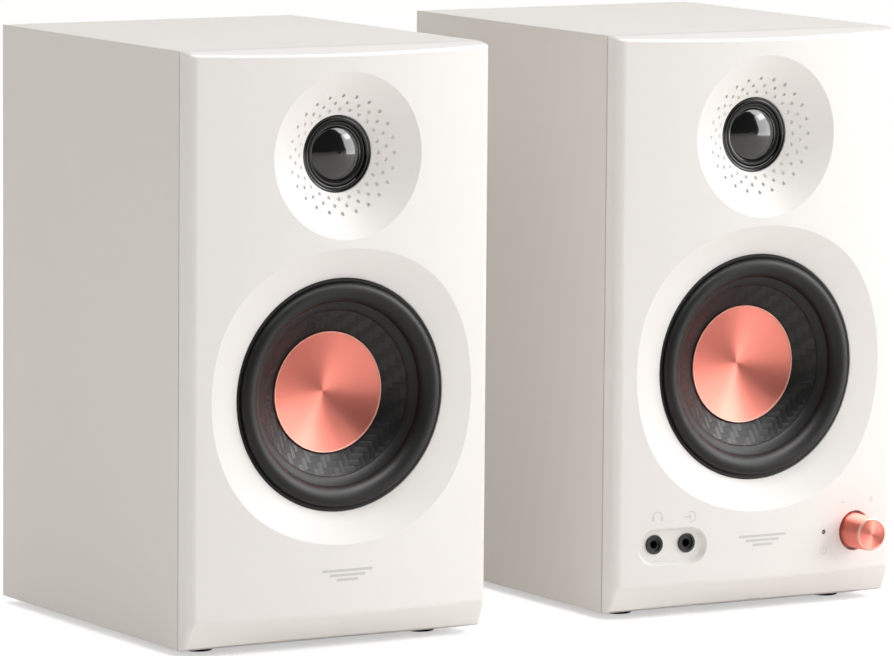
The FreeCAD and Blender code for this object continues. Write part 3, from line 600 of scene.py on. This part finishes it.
class FrontPrint:
    """Lays flat marks on a surface of the speaker, just proud of it."""

    def __init__(self, node, facing):
        shown = frame["nodes"][node]
        self.tree = BVHTree.FromPolygons([v.co for v in shown.data.vertices],
                                         [p.vertices for p in shown.data.polygons])
        self.facing = facing
        self.bm = bmesh.new()

    def touch(self, x, z):
        """The point of the surface in line with x and z."""
        inward = Vector((0, self.facing, 0))
        hit = self.tree.ray_cast(Vector((x, SEAM, z)) - inward * RAY_RUN, inward)[0]
        return hit - inward * INK_THICK

    def strip(self, points, width):
        """A line of a given width through points."""
        left, right = [], []
        for number, point in enumerate(points):
            before = Vector(points[max(number - 1, 0)])
            after = Vector(points[min(number + 1, len(points) - 1)])
            way = (after - before).normalized()
            out = Vector((-way.y, way.x)) * width / 2
            point = Vector(point)
            left.append(self.bm.verts.new(self.touch(*(point + out))))
            right.append(self.bm.verts.new(self.touch(*(point - out))))
        for number in range(len(points) - 1):
            self.bm.faces.new((left[number], left[number + 1], right[number + 1], right[number]))

    def line(self, x0, z0, x1, z1, width, steps=8):
        """A straight stroke."""
        shares = [step / steps for step in range(steps + 1)]
        self.strip([(x0 + (x1 - x0) * share, z0 + (z1 - z0) * share) for share in shares], width)

    def bow(self, x, z, radius, start, end, width, steps=24):
        """A stroke along an arc, angles in degrees from the right, counted upward."""
        points = []
        for step in range(steps + 1):
            turn = math.radians(start + (end - start) * step / steps)
            points.append((x + radius * math.cos(turn), z + radius * math.sin(turn)))
        self.strip(points, width)

    def done(self, name, body, ink):
        """Turn the marks into one piece."""
        return finished(self.bm, name, body, [ink])


BADGE_HEIGHT = 28.8 * MM


def badge(side, centre_x):
    """A plain generic mark low on the front: three bars of falling length."""
    marks = FrontPrint(side + "_front_baffle", 1)
    middle_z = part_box(side + "_cabinet")[0].z + BADGE_HEIGHT
    for level, half in ((1.9, 11.8), (0.0, 8.4), (-1.9, 5.0)):
        z = middle_z + level * MM
        marks.line(centre_x - half * MM, z, centre_x + half * MM, z, 1.1 * MM)
    marks.done(side + "_badge", side + "_speaker", GREY_INK)


# Places of the symbols on the right front, in millimetres from the cabinet's lower left corner.
HEADPHONE_MARK = (19.2, 41.6)
LINE_IN_MARK = (34.2, 41.0)
POWER_MARK = (102.2, 21.6)
MINUS_MARK = (112.6, 41.8)
PLUS_MARK = (128.6, 41.8)


def headphone_mark(marks, x, z):
    """A head band over two ear pads."""
    marks.bow(x, z, 2.1 * MM, 0, 180, 0.45 * MM)
    for step in (-1, 1):
        marks.line(x + step * 2.0 * MM, z - 1.6 * MM, x + step * 2.0 * MM, z + 0.1 * MM, 1.0 * MM)


def line_in_mark(marks, x, z):
    """An arrow into an open circle."""
    marks.line(x - 2.6 * MM, z, x + 0.6 * MM, z, 0.45 * MM)
    marks.line(x - 0.4 * MM, z + 1.1 * MM, x + 0.8 * MM, z, 0.45 * MM)
    marks.line(x - 0.4 * MM, z - 1.1 * MM, x + 0.8 * MM, z, 0.45 * MM)
    marks.bow(x + 0.6 * MM, z, 2.2 * MM, -110, 110, 0.45 * MM)


def power_mark(marks, x, z):
    """A ring, open at the top, with an upright stroke in the gap."""
    marks.bow(x, z, 1.5 * MM, 125, 415, 0.4 * MM)
    marks.line(x, z + 0.4 * MM, x, z + 2.1 * MM, 0.4 * MM)


def minus_mark(marks, x, z):
    marks.line(x - 1.2 * MM, z, x + 1.2 * MM, z, 0.5 * MM)


def plus_mark(marks, x, z):
    marks.line(x - 1.4 * MM, z, x + 1.4 * MM, z, 0.5 * MM)
    marks.line(x, z - 1.4 * MM, x, z + 1.4 * MM, 0.5 * MM)


def control_marks():
    """Symbols by the jacks, the lamp and the knob."""
    marks = FrontPrint("right_front_baffle", 1)
    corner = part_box("right_cabinet")[0]
    for draw, (x, z) in ((headphone_mark, HEADPHONE_MARK), (line_in_mark, LINE_IN_MARK),
                         (power_mark, POWER_MARK), (minus_mark, MINUS_MARK), (plus_mark, PLUS_MARK)):
        draw(marks, corner.x + x * MM, corner.z + z * MM)
    marks.done("right_control_marks", "right_speaker", PALE_INK)


def rear_marks():
    """Tick marks round the two tone controls."""
    marks = FrontPrint("right_amp_plate", -1)
    ring = 7.6 * MM
    tick_length = 0.16 * ring
    for node in ("right_treble_knob", "right_bass_knob"):
        centre = middle(node).xz
        for tick in range(11):
            turn = math.radians(-60 + 30 * tick)
            way = Vector((math.cos(turn), math.sin(turn)))
            marks.line(*(centre + way * ring), *(centre + way * (ring + tick_length)), 0.4 * MM)
    marks.done("right_rear_marks", "right_speaker", WHITE_INK)


# ---------------------------------------------------------------- stage

AMBIENT = 0.57
GLOSS_AMBIENT = 0.08


def seen(look, kind):
    """1 for rays of one kind, such as those from the camera, 0 for others."""
    return look.node("LightPath").outputs["Is " + kind + " Ray"]


def studio_floor():
    """A wide pale floor with a glow that the camera sees and other rays don't."""
    mesh = bpy.data.meshes.new("floor")
    half = 12.0
    mesh.from_pydata([(-half, -half, FLOOR), (half, -half, FLOOR), (half, half, FLOOR), (-half, half, FLOOR)],
                     [], [(0, 1, 2, 3)])
    floor = bpy.data.objects.new("floor", mesh)
    bpy.context.collection.objects.link(floor)
    look = Shader("floor")
    camera_ray = seen(look, "Camera")
    tone = look.mix(camera_ray, colour(0.95, 0.93, 0.91), colour(0.86, 0.86, 0.86))
    look.set(Base_Color=tone, Roughness=0.9, Specular_IOR_Level=0.1, Emission_Color=colour(1, 1, 1),
             Emission_Strength=look.math("MULTIPLY", camera_ray, 0.5))
    mesh.materials.append(look.material)


def area_light(name, place, aim, size, power, glossy=True, diffuse=True):
    """A soft square lamp, lighting surfaces, showing in reflections, or both."""
    lamp = bpy.data.lights.new(name, "AREA")
    lamp.shape = "SQUARE"
    lamp.size = size
    lamp.energy = power
    light = bpy.data.objects.new(name, lamp)
    bpy.context.collection.objects.link(light)
    light.location = place
    light.rotation_mode = "QUATERNION"
    light.rotation_quaternion = (Vector(aim) - Vector(place)).to_track_quat("-Z", "Y")
    light.visible_glossy = glossy
    light.visible_diffuse = diffuse


def studio_world():
    """Even surroundings: white behind the object, dim in its reflections."""
    world = bpy.data.worlds.new("studio")
    bpy.context.scene.world = world
    world.use_nodes = True
    tree = world.node_tree
    rays = tree.nodes.new("ShaderNodeLightPath")
    level = AMBIENT
    for kind, strength in (("Glossy", GLOSS_AMBIENT), ("Camera", 1.0)):
        switch = tree.nodes.new("ShaderNodeMix")
        tree.links.new(rays.outputs["Is " + kind + " Ray"], switch.inputs[0])
        if kind == "Glossy":
            switch.inputs[2].default_value = level
        else:
            tree.links.new(level, switch.inputs[2])
        switch.inputs[3].default_value = strength
        level = switch.outputs[0]
    back = tree.nodes["Background"]
    tree.links.new(level, back.inputs["Strength"])
    back.inputs["Color"].default_value = colour(1.0, 0.985, 0.965)


def camera():
    """A long lens, a little above the speakers and to their left."""
    azimuth = math.radians(-30.43)
    elevation = math.radians(6.91)
    roll = math.radians(0.467)
    distance = 2.770
    target = Vector((-0.0030, -0.00125, 0.1187))
    data = bpy.data.cameras.new("camera")
    data.sensor_width = 36.0
    data.lens = 260.56
    data.clip_end = 100.0
    made = bpy.data.objects.new("camera", data)
    bpy.context.collection.objects.link(made)
    back = Vector((math.sin(azimuth) * math.cos(elevation), -math.cos(azimuth) * math.cos(elevation),
                   math.sin(elevation)))
    made.location = target + back * distance
    made.rotation_mode = "QUATERNION"
    turn = (-back).to_track_quat("-Z", "Y").to_matrix() @ Matrix.Rotation(roll, 3, "Z")
    made.rotation_quaternion = turn.to_quaternion()
    bpy.context.scene.camera = made


# ---------------------------------------------------------------- put together

finish_cad_nodes()
for side in SIDES:
    woofer_centre = middle(side + "_dust_cap")
    tweeter_centre = middle(side + "_tweeter_frame")
    surround(side, woofer_centre)
    cone(side, woofer_centre)
    dust_cap(side, woofer_centre)
    tweeter(side, tweeter_centre)
    badge(side, woofer_centre.x)
volume_knob()
control_marks()
rear_marks()

studio_floor()
studio_world()
area_light("key", (2.02, -1.2, 1.0), (0.0, -0.08, 0.12), 1.7, 31, glossy=False)
area_light("high_sheen", (1.22, -0.52, 1.42), (0.0, -0.08, 0.12), 1.6, 46, diffuse=False)
area_light("low_sheen", (1.50, -0.95, 0.50), (0.0, -0.08, 0.12), 1.3, 24, diffuse=False)
area_light("top", (0.0, -0.1, 1.9), (0.0, 0.0, 0.1), 1.4, 14, glossy=False)
area_light("top_sheen", (0.0, -0.1, 1.84), (0.0, 0.0, 0.1), 1.4, 85, diffuse=False)
bpy.context.scene.view_settings.view_transform = "Standard"
camera()
